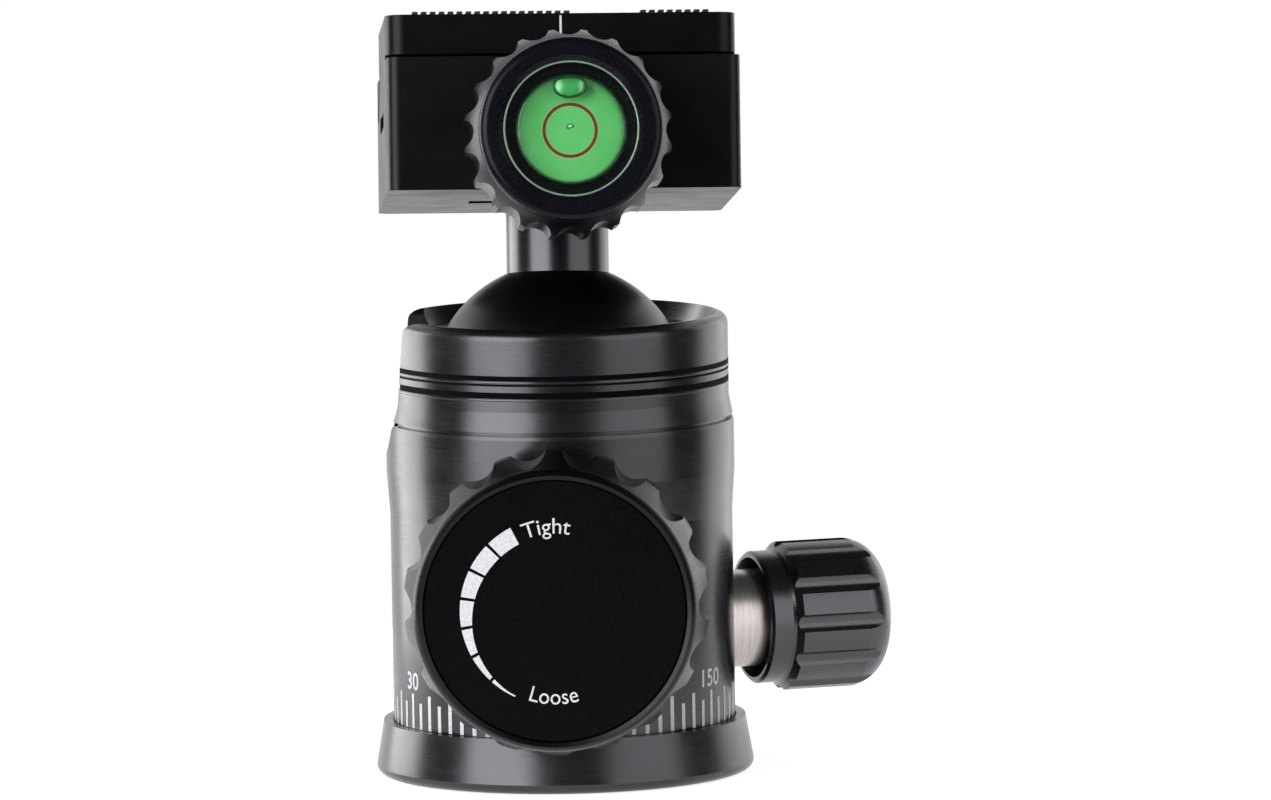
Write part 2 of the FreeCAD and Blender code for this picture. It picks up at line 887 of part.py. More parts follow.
def corner_edge(edge):
    """True for the long outer edges where the clamp's ends meet its front or back face."""
    return upright(edge) and edge.Length > 10


def clamp_body():
    """The block on the stem, with the fixed jaw at its back and the channel for the plate."""
    body = new_body("clamp_body")
    flank = "(channel_floor + dovetail_side)"
    neck = "(plate_half - dovetail_rise)"
    sketch = sketch_on(body, "YZ_Plane")
    outline(
        sketch,
        [
            ("-jaw_split + 0.2", "0"),
            ("clamp_back", "0"),
            ("clamp_back", "jaw_top"),
            (f"{neck} + run_gap", "jaw_top"),
            (f"{neck} + run_gap", f"{flank} + dovetail_rise"),
            ("plate_half + run_gap", flank),
            ("plate_half + run_gap", "channel_floor"),
            ("relief_half", "channel_floor"),
            ("relief_half", "relief_floor"),
            ("-relief_half", "relief_floor"),
            ("-relief_half", "channel_floor"),
            ("-jaw_split + 0.2", "channel_floor"),
        ],
    )
    block = extrude(body, sketch, "clamp_width", both=True)
    back = value("clamp_back")
    soften(
        body, block, "clamp_corner", lambda e: corner_edge(e) and abs(e.Vertexes[0].Y - back) < 0.01
    )
    sketch = sketch_on(body, "XY_Plane", "0")
    box(sketch, "-12.2", "12.2", "-2.5", "2.5")
    pocket(body, sketch, "1", back=True)
    groove(
        body,
        [
            ("0", "-1"),
            ("5.05", "-1"),
            ("5.05", "3"),
            ("2.6", "3"),
            ("2.6", "5"),
            ("4.6", "5"),
            ("4.6", "relief_floor + 1"),
            ("0", "relief_floor + 1"),
        ],
    )
    for x, radius in (("-pin_spread", "pin_radius"), ("pin_spread", "pin_radius"), ("0", "clamp_screw_radius")):
        sketch = sketch_on(body, "XZ_Plane", "jaw_split + 2")
        ring(sketch, f"{radius} + run_gap", x, "clamp_screw_height")
        depth = "13" if x == "0" else "26"
        pocket(body, sketch, f"{depth} + 2")
    body.Placement = AT_CLAMP


def stem_screw():
    body = new_body("stem_screw")
    revolve(
        body,
        [
            ("0", "-12"),
            ("2.5", "-12"),
            ("2.5", "5"),
            ("4.5", "5"),
            ("4.5", "9.2"),
            ("4.1", "9.6"),
            ("2", "9.6"),
            ("2", "7.6"),
            ("0", "7.6"),
        ],
    )
    body.Placement = AT_CLAMP


def guide_pins():
    """Two pins pressed into the body, on which the front jaw slides."""
    body = new_body("guide_pins")
    for x in ("-pin_spread", "pin_spread"):
        sketch = sketch_on(body, "XZ_Plane", "-8")
        ring(sketch, "pin_radius", x, "clamp_screw_height")
        extrude(body, sketch, "8 + clamp_front - 2")
    body.Placement = AT_CLAMP


def movable_jaw():
    body = new_body("movable_jaw")
    flank = "(channel_floor + dovetail_side)"
    neck = "(plate_half - dovetail_rise)"
    sketch = sketch_on(body, "YZ_Plane")
    outline(
        sketch,
        [
            ("-clamp_front", "0"),
            ("-jaw_split", "0"),
            ("-jaw_split", "channel_floor - run_gap"),
            ("-plate_half - run_gap", "channel_floor - run_gap"),
            ("-plate_half - run_gap", flank),
            (f"-{neck} - run_gap", f"{flank} + dovetail_rise"),
            (f"-{neck} - run_gap", "jaw_top"),
            ("-clamp_front", "jaw_top"),
        ],
    )
    block = extrude(body, sketch, "clamp_width", both=True)
    front = value("clamp_front")
    soften(
        body, block, "clamp_corner", lambda e: corner_edge(e) and abs(e.Vertexes[0].Y + front) < 0.01
    )
    for x in ("-pin_spread", "pin_spread"):
        sketch = sketch_on(body, "XZ_Plane", "jaw_split - 2")
        ring(sketch, "pin_radius + run_gap", x, "clamp_screw_height")
        pocket(body, sketch, "clamp_front - jaw_split + 2 - 1.5", back=True)
    sketch = sketch_on(body, "XZ_Plane", "jaw_split - 2")
    ring(sketch, "clamp_screw_radius + run_gap", 0, "clamp_screw_height")
    pocket(body, sketch, "clamp_front - jaw_split + 4", back=True)
    body.Placement = AT_CLAMP


AT_CLAMP_KNOB = AT_CLAMP * outward(0, value("clamp_front"), value("clamp_screw_height"))


def clamp_screw():
    body = new_body("clamp_screw")
    revolve(
        body,
        [
            ("0", "-18"),
            ("clamp_screw_radius", "-18"),
            ("clamp_screw_radius", "clamp_knob_depth - level_depth - 2.5"),
            ("0", "clamp_knob_depth - level_depth - 2.5"),
        ],
    )
    body.Placement = AT_CLAMP_KNOB


def clamp_knob():
    """The knob with crested flutes that fade into a round ring about the level."""
    body = new_body("clamp_knob")
    depth = "clamp_knob_depth"
    revolve(
        body,
        [
            ("clamp_screw_radius + fit_gap", "run_gap"),
            ("8.6", "run_gap"),
            ("8.6", "1.9"),
            ("clamp_knob_radius - 1.2", "2.2"),
            ("clamp_knob_radius", "3.4"),
            ("clamp_knob_radius", f"{depth} - 9"),
            ("clamp_knob_waist - 0.05", f"{depth} - 3.4"),
            ("clamp_knob_waist - 0.05", f"{depth} - 1.2"),
            ("clamp_knob_waist - 1.25", depth),
            ("level_radius + 0.6", depth),
            ("level_radius + fit_gap", f"{depth} - 0.6"),
            ("level_radius + fit_gap", f"{depth} - level_depth"),
            ("clamp_screw_radius + fit_gap", f"{depth} - level_depth"),
        ],
        {5: ("26", 1), 7: ("1.2", 1)},
    )
    flute(body, "clamp_knob_radius", "clamp_flute_floor", "clamp_knob_flutes", "clamp_flute_share", "1.95", f"{depth} + 1")
    body.Placement = AT_CLAMP_KNOB


def level_vial():
    """The clear cup of the level, closed by a slightly domed front, and hollow behind it."""
    body = new_body("level_vial")
    back = "clamp_knob_depth - level_depth + fit_gap"
    front = "clamp_knob_depth - 0.7"
    revolve(
        body,
        [
            ("level_disc_radius", back),
            ("level_radius", back),
            ("level_radius", f"{front} - 0.4"),
            ("level_radius - 0.4", front),
            ("level_disc_radius", front),
            ("0", f"{front} + 0.35"),
            ("0", f"{front} - 0.9"),
            ("level_disc_radius - 0.6", f"{front} - 1.3"),
            ("level_disc_radius", f"{front} - 1.9"),
        ],
        {
            4: (dome("level_disc_radius", "0.35"), 1),
            6: (dome("level_disc_radius - 0.6", "0.4"), -1),
            7: ("0.75", -1),
        },
    )
    body.Placement = AT_CLAMP_KNOB


def level_disc():
    body = new_body("level_disc")
    back = "clamp_knob_depth - level_depth + fit_gap"
    revolve(
        body,
        [
            ("0", back),
            ("level_disc_radius - fit_gap", back),
            ("level_disc_radius - fit_gap", f"{back} + 1.2"),
            ("0", f"{back} + 1.2"),
        ],
    )
    body.Placement = AT_CLAMP_KNOB


def level_bubble():
    """The bubble, risen to the top of the vial."""
    body = new_body("level_bubble")
    high = "0.9"
    revolve(
        body,
        [
            ("0", "0"),
            ("bubble_radius", high),
            ("0", f"2 * {high}"),
        ],
        {0: (dome("bubble_radius", high), 1), 1: (dome("bubble_radius", high), 1)},
    )
    rise = value("level_disc_radius - bubble_radius - 0.35")
    depth = value("clamp_knob_depth - 0.7 - 1.3 - 2 * 0.9 - 0.3")
    body.Placement = AT_CLAMP_KNOB * moved(0, rise, depth)


# Quick-release plate


def quick_plate():
    body = new_body("quick_plate")
    base = "channel_floor + fit_gap"
    flank = "(channel_floor + dovetail_side)"
    neck = "(plate_half - dovetail_rise)"
    slab = "(jaw_top + plate_neck_gap)"
    sketch = sketch_on(body, "YZ_Plane")
    outline(
        sketch,
        [
            ("-plate_half", base),
            ("plate_half", base),
            ("plate_half", flank),
            (neck, f"{flank} + dovetail_rise"),
            (neck, slab),
            ("plate_half", slab),
            ("plate_half", f"{slab} + plate_slab"),
            ("-plate_half", f"{slab} + plate_slab"),
            ("-plate_half", slab),
            (f"-{neck}", slab),
            (f"-{neck}", f"{flank} + dovetail_rise"),
            ("-plate_half", flank),
        ],
    )
    block = extrude(body, sketch, "plate_length", both=True)
    half = value("plate_half")
    low = value("jaw_top")
    soften(
        body,
        block,
        "plate_corner",
        lambda e: upright(e) and e.Vertexes[0].Z > low and abs(abs(e.Vertexes[0].Y) - half) < 0.01,
    )
    top = f"{slab} + plate_slab"
    edge = "plate_half - 1.6"
    for start, count in (("pad_left_start", "pad_left_ribs"), ("pad_right_start", "pad_right_ribs")):
        sketch = sketch_on(body, "XY_Plane", top)
        box(sketch, start, f"{start} + {count} * rib_pitch", f"-({edge})", edge)
        pocket(body, sketch, "pad_recess")
    for half_width, low_end, high_end in (
        ("screw_head_radius + 0.5", base, f"{top} - screw_ceiling"),
        ("stud_radius + 0.15", base, f"{top} + 1"),
    ):
        sketch = sketch_on(body, "XY_Plane", low_end)
        outline(
            sketch,
            [
                (f"screw_place - ({half_width})", "-screw_slot_half"),
                ("screw_place", f"-screw_slot_half - ({half_width})"),
                (f"screw_place + ({half_width})", "-screw_slot_half"),
                (f"screw_place + ({half_width})", "screw_slot_half"),
                ("screw_place", f"screw_slot_half + ({half_width})"),
                (f"screw_place - ({half_width})", "screw_slot_half"),
            ],
            {side: (half_width, 1) for side in (0, 1, 3, 4)},
        )
        pocket(body, sketch, f"({high_end}) - ({low_end})", back=True)
    body.Placement = AT_CLAMP


def pad(label, start, count):
    """A rubber pad with ribs across the plate."""
    body = new_body(label)
    top = "(jaw_top + plate_neck_gap + plate_slab)"
    edge = "(plate_half - 1.6 - fit_gap)"
    sketch = sketch_on(body, "XY_Plane", f"{top} - pad_recess")
    box(sketch, f"{start} + fit_gap", f"{start} + {count} * rib_pitch - fit_gap", f"-{edge}", edge)
    extrude(body, sketch, "pad_recess + pad_stand - 0.45")
    sketch = sketch_on(body, "XY_Plane", f"{top} + pad_stand - 0.45")
    box(sketch, f"{start} + 0.2 * rib_pitch", f"{start} + 0.8 * rib_pitch", f"-{edge}", edge)
    rib = extrude(body, sketch, "0.45")
    ribs = body.newObject("PartDesign::LinearPattern", f"{label}_ribs")
    ribs.Originals = [rib]
    ribs.Direction = (origin_part(body, "X_Axis"), [""])
    ribs.setExpression("Length", linked(f"({count} - 1) * rib_pitch"))
    ribs.setExpression("Occurrences", linked(count))
    body.Tip = ribs
    body.Placement = AT_CLAMP


AT_SCREW = AT_CLAMP * moved(value("screw_place"), 0, 0)


def camera_screw():
    """The quarter-inch screw, let down so that its stud lies just under the top of the plate."""
    body = new_body("camera_screw")
    top = "(jaw_top + plate_neck_gap + plate_slab - 0.3)"
    head_top = "(jaw_top + plate_neck_gap + plate_slab - screw_ceiling - screw_lift - screw_washer - 3 * run_gap)"
    revolve(
        body,
        [
            ("0", f"{head_top} - screw_head"),
            ("screw_head_radius - 0.4", f"{head_top} - screw_head"),
            ("screw_head_radius", f"{head_top} - screw_head + 0.4"),
            ("screw_head_radius", head_top),
            ("stud_radius - 0.5", head_top),
            ("stud_radius - 0.5", f"{head_top} + 2.2"),
            ("stud_radius", f"{head_top} + 2.7"),
            ("stud_radius", f"{top} - 0.6"),
            ("stud_radius - 0.6", top),
            ("0", top),
        ],
    )
    sketch = sketch_on(body, "XY_Plane", f"{head_top} - screw_head")
    box(sketch, "-screw_head_radius - 1", "screw_head_radius + 1", "-0.8", "0.8")
    pocket(body, sketch, "1.4", back=True)
    body.Placement = AT_SCREW


def screw_washer():
    """The washer between the screw's head and the plate."""
    body = new_body("screw_washer")
    high = "(jaw_top + plate_neck_gap + plate_slab - screw_ceiling - screw_lift - run_gap)"
    revolve(
        body,
        [
            ("stud_radius - 0.5 + run_gap", f"{high} - screw_washer"),
            ("stud_radius + 2.6", f"{high} - screw_washer"),
            ("stud_radius + 2.6", high),
            ("stud_radius - 0.5 + run_gap", high),
        ],
    )
    body.Placement = AT_SCREW


base_ring()
thread_insert()
pan_spindle()
base_screws()
glide_washer()
housing()
seat_ring()
pan_retainer()
retainer_screws()
main_bushing()
pan_bushing()
ball_cup()
ball_liner()
main_wedge()
main_shaft()
main_knob()
main_knob_cap()
pan_shoe()
pan_shaft()
pan_knob()
pan_knob_cap()
ball()
stem()
clamp_body()
stem_screw()
guide_pins()
movable_jaw()
clamp_screw()
clamp_knob()
level_vial()
level_disc()
level_bubble()
quick_plate()
pad("pad_left", "pad_left_start", "pad_left_ribs")
pad("pad_right", "pad_right_start", "pad_right_ribs")
camera_screw()
screw_washer()
doc.recompute()

for item in doc.Objects:
    if {"Invalid", "Error"} & set(item.State):
        raise RuntimeError(f"{item.Label} could not be built")
wrong = [n.Label for n in nodes if n.Shape.isNull() or not n.Shape.isValid()]
if wrong:
    raise RuntimeError(f"no valid shape: {', '.join(wrong)}")

os.makedirs("parts", exist_ok=True)
for item in nodes:
    item.Shape.exportStep(f"parts/{item.Label}.step")
    print(item.Label, len(item.Shape.Solids), round(item.Shape.Volume, 1))
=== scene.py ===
"""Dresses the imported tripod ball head: materials, printed marks, light and camera, in metres."""

import json
from math import cos, pi, radians, sin, sqrt

import bpy
from mathutils import Matrix, Vector


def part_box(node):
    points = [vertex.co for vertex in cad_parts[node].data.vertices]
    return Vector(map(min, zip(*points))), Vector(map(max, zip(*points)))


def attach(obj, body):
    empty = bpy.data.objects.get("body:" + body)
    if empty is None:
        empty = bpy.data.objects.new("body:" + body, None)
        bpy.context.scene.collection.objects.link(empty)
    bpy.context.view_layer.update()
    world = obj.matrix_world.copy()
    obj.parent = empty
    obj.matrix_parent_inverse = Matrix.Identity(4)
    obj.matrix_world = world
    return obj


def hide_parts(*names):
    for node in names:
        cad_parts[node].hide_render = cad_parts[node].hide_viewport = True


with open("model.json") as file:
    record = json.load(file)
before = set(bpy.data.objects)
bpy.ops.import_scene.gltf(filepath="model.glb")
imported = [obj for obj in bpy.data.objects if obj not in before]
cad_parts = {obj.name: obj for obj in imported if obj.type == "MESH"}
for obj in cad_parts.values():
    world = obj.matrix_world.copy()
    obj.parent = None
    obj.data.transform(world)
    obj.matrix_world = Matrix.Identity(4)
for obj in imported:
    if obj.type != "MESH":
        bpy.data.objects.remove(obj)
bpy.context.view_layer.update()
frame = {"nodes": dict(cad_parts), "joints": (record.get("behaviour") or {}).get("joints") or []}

# Lengths are in millimetres. Those multiplied by MM, RAY_START and WELD_REACH are in metres.
# Angles are in degrees.
MM = 0.001
BALL_CENTRE = Vector((0, 0, 52.2)) * MM
CLAMP_HEIGHT = 26.5 * MM
MAIN_AXIS = Vector((0, 0, 27)) * MM
PAN_AXIS = Vector((0, 0, 19.5)) * MM
MAIN_KNOB_REACH = 27.2
PAN_KNOB_REACH = 27.5
CLAMP_KNOB_REACH = 27
CLAMP_KNOB_RISE = 6.7

PRINT_LIFT = 0.03
HOUSING_RADIUS = 23.6
TICK_STEP = 5
TICK_HALF_WIDTH = 0.31
TICK_FOOT = 7.5
LONG_TICK_TOP = 12.3
SHORT_TICK_TOP = 11.1
NUMBER_STEP = 30
NUMBER_FOOT = 12.9
NUMBER_HEIGHT = 2.3
NUMBER_WEIGHT = 0.016
COVERED_NUMBER = 210
CAPITAL_SHARE = 0.69

FACE_LIFT = 0.02
BAND_STEPS = 7
BAND_START = 117
BAND_PITCH = 18.45
BAND_LENGTH = 16.45
BAND_CUTS = 8
BAND_RADIUS = 12.8
BAND_MEAN_WIDTH = 1.0
BAND_SWING = 1.5
BAND_WIDEST_AT = 118
BAND_LEAST_WIDTH = 0.22
WORD_HEIGHT = 2.1

PLATE_FRONT = -19
MARK_HALF_WIDTH = 0.15
MARK_FOOT = 21.6
MARK_TOP = 24.2

COLLAR_RADIUS = 23.35
COLLAR_MIDDLE = 55.3
COLLAR_STEPS = 288
NOTCH_MARGIN = 0.1
RAY_START = 0.04
SLEEVE_LIFT = 0.02
BEAD_HALF_HEIGHT = 0.15
BEAD_PROUD = 0.06
BEAD_STEPS = 8

RING_SIDES = 96
WIRE_SIDES = 8
WELD_REACH = 1e-6
VIAL_STEP = 0.35
RIM_DROP = 0.14
RIM_RADIUS = 9.0
RIM_WIRE = 0.15
BUBBLE_SIDES = 48
BUBBLE_RINGS = 8
BUBBLE_INSET = 0.15
BUBBLE_X = -0.1
BUBBLE_Y = 5.75
BUBBLE_HALF_WIDTH = 2.15
BUBBLE_RISE = 1.2
BUBBLE_FALL = 1.45
BUBBLE_SHOULDER = 0.65
BUBBLE_DEPTH = 0.7
EDGE_BACK = 0.35
EDGE_WIRE = 0.17
TARGET_RING = 3.5
TARGET_DOT = 0.42

UP = Vector((0, 0, 1))
ACROSS = Vector((1, 0, 0))
FRONT = Vector((0, -1, 0))

COOL = (0.93, 0.94, 1.0, 1)
BLACK = (0.0034, 0.0034, 0.0048, 1)
MATT_BLACK = (0.0014, 0.0014, 0.0021, 1)
PLATE_BLACK = (0.0014, 0.0014, 0.0020, 1)
PAD_BLACK = (0.006, 0.006, 0.006, 1)
RING_BLACK = (0.002, 0.002, 0.0024, 1)
BALL_BLACK = (0.0002, 0.0002, 0.0003, 1)
MAIN_CAP_BLACK = (0.0017, 0.0017, 0.0024, 1)
PAN_KNOB_BLACK = (0.0016, 0.0016, 0.0022, 1)
PAN_CAP_BLACK = (0.0018, 0.0018, 0.0024, 1)
CLAMP_KNOB_BLACK = (0.0024, 0.0023, 0.0040, 1)
STEEL = (0.5, 0.5, 0.52, 1)
SHAFT_STEEL = (0.55, 0.55, 0.56, 1)
PIN_STEEL = (0.6, 0.6, 0.62, 1)
GREY_METAL = (0.42, 0.42, 0.44, 1)
CUP_METAL = (0.38, 0.38, 0.4, 1)
NICKEL = (0.50, 0.455, 0.44, 1)
BRASS = (0.62, 0.44, 0.17, 1)


def axis_of(joint):
    """The direction of a joint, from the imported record."""
    found = next(j for j in frame["joints"] if j["name"] == joint)
    return Vector(found["axis"]).normalized()


def local_frame(origin, third, first):
    """A frame with its z along third and its x as near first as it can be."""
    third = third.normalized()
    second = third.cross(first).normalized()
    first = second.cross(third)
    columns = Matrix((first, second, third)).transposed()
    return Matrix.Translation(origin) @ columns.to_4x4()


head_up = axis_of("head_spin")
head_across = axis_of("plate_slide")
clamp_out = axis_of("jaw_travel")
pan_out = axis_of("brake_slide")
clamp_origin = BALL_CENTRE + head_up * CLAMP_HEIGHT
knob_origin = clamp_origin + clamp_out * CLAMP_KNOB_REACH * MM + head_up * CLAMP_KNOB_RISE * MM
STANDING = Matrix.Identity(4)
BALL_FRAME = local_frame(BALL_CENTRE, head_up, ACROSS)
CLAMP_FRAME = local_frame(clamp_origin, head_up, head_across)
KNOB_FRAME = local_frame(knob_origin, clamp_out, head_across)
MAIN_FRAME = local_frame(MAIN_AXIS + FRONT * MAIN_KNOB_REACH * MM, FRONT, ACROSS)
PAN_FRAME = local_frame(PAN_AXIS + pan_out * PAN_KNOB_REACH * MM, pan_out, UP.cross(pan_out))


def add(tree, kind, options=None, **inputs):
    """A new node with its options and the values or links of its inputs."""
    node = tree.nodes.new(kind)
    for key, setting in (options or {}).items():
        setattr(node, key, setting)
    for key, content in inputs.items():
        put(tree, node.inputs[key.replace("_", " ")], content)
    return node


def put(tree, socket, content):
    """Links a socket to another, or sets its value."""
    if isinstance(content, bpy.types.NodeSocket):
        tree.links.new(content, socket)
    else:
        socket.default_value = content


def compute(tree, operation, *terms):
    """One step of arithmetic between nodes."""
    node = tree.nodes.new("ShaderNodeMath")
    node.operation = operation
    for socket, term in zip(node.inputs, terms):
        put(tree, socket, term)
    return node.outputs[0]


def off_from(tree, amount, middle):
    """How far an amount is from a middle value, without its sign."""
    return compute(tree, "ABSOLUTE", compute(tree, "SUBTRACT", amount, middle))


def between(tree, amount, low, high, first=0.0, last=1.0):
    """Carries amount from low..high to first..last, without going past the ends."""
    node = add(tree, "ShaderNodeMapRange", Value=amount)
    for name, number in (("From Min", low), ("From Max", high), ("To Min", first), ("To Max", last)):
        put(tree, node.inputs[name], number)
    return node.outputs["Result"]


def tinted(tree, amount, first, second):
    """A colour between two colours, by amount."""
    node = tree.nodes.new("ShaderNodeMix")
    node.data_type = "RGBA"
    put(tree, node.inputs[0], amount)
    put(tree, node.inputs[6], first)
    put(tree, node.inputs[7], second)
    return node.outputs[2]


def scaled(colour, factor):
    """A colour made lighter or darker by a factor."""
    return tuple(c * factor for c in colour[:3]) + (1,)


def started(name):
    """A new material with its tree and its main shader."""
    material = bpy.data.materials.new(name)
    material.use_nodes = True
    tree = material.node_tree
    return material, tree, tree.nodes["Principled BSDF"]


def mixed(tree, share, first, second):
    """A surface between two surfaces, by share."""
    mix = tree.nodes.new("ShaderNodeMixShader")
    for socket, content in zip(mix.inputs, (share, first, second)):
        put(tree, socket, content)
    return mix.outputs[0]


def shown(tree, surface):
    """Makes a surface the one that the material shows."""
    put(tree, tree.nodes["Material Output"].inputs["Surface"], surface)


def seen_directly(tree):
    """One for what the camera sees, also by mirroring or through glass, and zero for the rest."""
    path = tree.nodes.new("ShaderNodeLightPath").outputs
    mirrored = compute(tree, "MAXIMUM", path["Is Camera Ray"], path["Is Glossy Ray"])
    return compute(tree, "MAXIMUM", mirrored, path["Is Transmission Ray"])


def clear_to_light(tree, shader, cast=(1, 1, 1, 1)):
    """Lets shadow and diffuse rays through a clear finish, so that it throws no dark shadow."""
    path = tree.nodes.new("ShaderNodeLightPath").outputs
    hidden = compute(tree, "MAXIMUM", path["Is Shadow Ray"], path["Is Diffuse Ray"])
    through = tree.nodes.new("ShaderNodeBsdfTransparent")
    through.inputs[0].default_value = cast
    shown(tree, mixed(tree, hidden, shader.outputs[0], through.outputs[0]))


def local_point(tree, place):
    """The shaded point in a local frame, in millimetres."""
    where = tree.nodes.new("ShaderNodeTexCoord").outputs["Object"]
    node = add(tree, "ShaderNodeMapping", {"vector_type": "TEXTURE"}, Vector=where)
    node.inputs["Location"].default_value = place.translation
    node.inputs["Rotation"].default_value = place.to_euler()
    node.inputs["Scale"].default_value = (MM, MM, MM)
    return node.outputs[0]


def parts_of(tree, point):
    """The three coordinates of a point."""
    return add(tree, "ShaderNodeSeparateXYZ", Vector=point).outputs


def joined(tree, x, y, z):
    """A point from three coordinates."""
    return add(tree, "ShaderNodeCombineXYZ", X=x, Y=y, Z=z).outputs[0]


def radius_of(tree, point):
    """How far the point is from the frame's z axis."""
    x, y, _ = parts_of(tree, point)
    squares = [compute(tree, "MULTIPLY", part, part) for part in (x, y)]
    return compute(tree, "SQRT", compute(tree, "ADD", *squares))


def noise(tree, point, scale, detail=3.0, rough=0.6):
    """Fractal noise, in cycles per millimetre where the point is in millimetres."""
    node = add(tree, "ShaderNodeTexNoise", Vector=point, Scale=scale, Detail=detail, Roughness=rough)
    return node.outputs[0]


def plain_noise(tree, scale, detail):
    """Noise over an object's own coordinates, in cycles per metre."""
    where = tree.nodes.new("ShaderNodeTexCoord").outputs["Object"]
    return add(tree, "ShaderNodeTexNoise", Vector=where, Scale=scale, Detail=detail).outputs[0]


def bumped(tree, shader, height, depth, under=None):
    """Raises the surface by height times depth, in metres."""
    node = add(tree, "ShaderNodeBump", Height=height, Distance=depth, Strength=1.0)
    if under is not None:
        put(tree, node.inputs["Normal"], under)
    put(tree, shader.inputs["Normal"], node.outputs[0])
    return node.outputs[0]


def roughened(tree, shader, fine, cloud, rough):
    """A roughness that varies a little with the fine marks and with a broad cloud."""
    broad = between(tree, cloud, 0.35, 0.65, rough - 0.03, rough + 0.03)
    put(tree, shader.inputs["Roughness"], compute(tree, "ADD", fine, broad))


def turned(name, place, base, rough=0.26, metallic=0.0, tint=(1, 1, 1, 1), line_depth=0.3, level=0.7):
    """A lathe-cut finish: fine lines round the local z axis, with a soft blasted grain under them."""
    material, tree, shader = started(name)
    point = local_point(tree, place)
    x, y, z = parts_of(tree, point)
    along = compute(tree, "ADD", z, radius_of(tree, point))
    drift = compute(tree, "MULTIPLY", x, 0.07)
    drift_too = compute(tree, "MULTIPLY", y, 0.07)
    lines = noise(tree, joined(tree, drift, drift_too, along), 3.2, 4.0, 0.65)
    grain = noise(tree, point, 5.0, 2.0)
    cloud = noise(tree, point, 0.12, 2.0)
    amount = between(tree, lines, 0.3, 0.7)
    put(tree, shader.inputs["Base Color"], tinted(tree, amount, scaled(base, 0.82), scaled(base, 1.25)))
    roughened(tree, shader, between(tree, lines, 0.3, 0.7, -0.02, 0.025), cloud, rough)
    shader.inputs["Metallic"].default_value = metallic
    shader.inputs["Specular Tint"].default_value = tint
    shader.inputs["Specular IOR Level"].default_value = level
    fine = bumped(tree, shader, grain, 1.2e-6)
    bumped(tree, shader, lines, line_depth * 1e-6, fine)
    return material


def blasted(name, place, base, rough=0.55, fleck=3.0, depth=6.0, tint=(1, 1, 1, 1), level=0.5):
    """A matt blasted and dyed finish: small even flecks that catch the light."""
    material, tree, shader = started(name)
    point = local_point(tree, place)
    flecks = noise(tree, point, fleck, 3.0, 0.7)
    cloud = noise(tree, point, 0.15, 2.0)
    pits = add(tree, "ShaderNodeTexVoronoi", Vector=point, Scale=fleck * 1.3).outputs["Distance"]
    amount = between(tree, flecks, 0.42, 0.72)
    put(tree, shader.inputs["Base Color"], tinted(tree, amount, base, scaled(base, 2.6)))
    roughened(tree, shader, between(tree, flecks, 0.3, 0.7, -0.06, 0.06), cloud, rough)
    shader.inputs["Specular Tint"].default_value = tint
    shader.inputs["Specular IOR Level"].default_value = level
    under = bumped(tree, shader, pits, depth * 0.4e-6)
    bumped(tree, shader, flecks, depth * 1e-6, under)
    return material


def fine_blasted(name, place, base, rough, depth, level):
    """The blasted finish with smaller flecks and a cool tint, for the knobs and the plate."""
    return blasted(name, place, base, rough, fleck=4.0, depth=depth, tint=COOL, level=level)


def clear_plastic():
    """The capsule of the level: clear, with a faint green cast, and no dark shadow under it."""
    material, tree, shader = started("level_clear")
    point = local_point(tree, KNOB_FRAME)
    ripple = noise(tree, point, 0.25, 2.0)
    shader.inputs["Base Color"].default_value = (0.86, 0.97, 0.89, 1)
    put(tree, shader.inputs["Roughness"], between(tree, ripple, 0.3, 0.7, 0.01, 0.05))
    shader.inputs["IOR"].default_value = 1.49
    shader.inputs["Transmission Weight"].default_value = 1.0
    bumped(tree, shader, ripple, 8e-6)
    clear_to_light(tree, shader, (0.9, 0.97, 0.92, 1))
    return material


def level_target():
    """The green disc of the level, with its red ring and the small centre mark, and painted shade
    darkening it towards its outer edge.
    """
    material, tree, shader = started("level_green")
    point = local_point(tree, KNOB_FRAME)
    radius = radius_of(tree, point)
    cloud = noise(tree, point, 0.22, 2.0)
    amount = between(tree, cloud, 0.35, 0.65)
    green = tinted(tree, amount, (0.105, 0.52, 0.14, 1), (0.16, 0.57, 0.19, 1))
    # Painted shade: the disc turns dark green towards its outer edge, under the vial's rim.
    edge = between(tree, radius, 6.6, 7.5)
    green = tinted(tree, edge, green, (0.02, 0.12, 0.035, 1))
    off_ring = off_from(tree, radius, TARGET_RING)
    green = tinted(tree, between(tree, off_ring, 0.42, 0.3, 0.0, 0.65), green, (0.62, 0.42, 0.16, 1))
    green = tinted(tree, between(tree, off_ring, 0.27, 0.17), green, (0.10, 0.016, 0.003, 1))
    off_dot = off_from(tree, radius, TARGET_DOT)
    green = tinted(tree, between(tree, off_dot, 0.16, 0.08), green, (0.02, 0.16, 0.04, 1))
    green = tinted(tree, between(tree, radius, 0.3, 0.2), green, (0.6, 0.85, 0.62, 1))
    put(tree, shader.inputs["Base Color"], green)
    put(tree, shader.inputs["Roughness"], between(tree, cloud, 0.3, 0.7, 0.42, 0.52))
    bumped(tree, shader, noise(tree, point, 4.0), 1e-6)
    return material


def bubble_air():
    """The finish of the CAD's own bubble, nearly clear. The scene's bubble takes its place."""
    material, tree, shader = started("level_bubble_air")
    point = local_point(tree, KNOB_FRAME)
    ripple = noise(tree, point, 0.4, 2.0)
    shader.inputs["Base Color"].default_value = (0.80, 0.95, 0.83, 1)
    put(tree, shader.inputs["Roughness"], between(tree, ripple, 0.3, 0.7, 0.02, 0.06))
    shader.inputs["IOR"].default_value = 1.25
    shader.inputs["Transmission Weight"].default_value = 1.0
    clear_to_light(tree, shader)
    return material


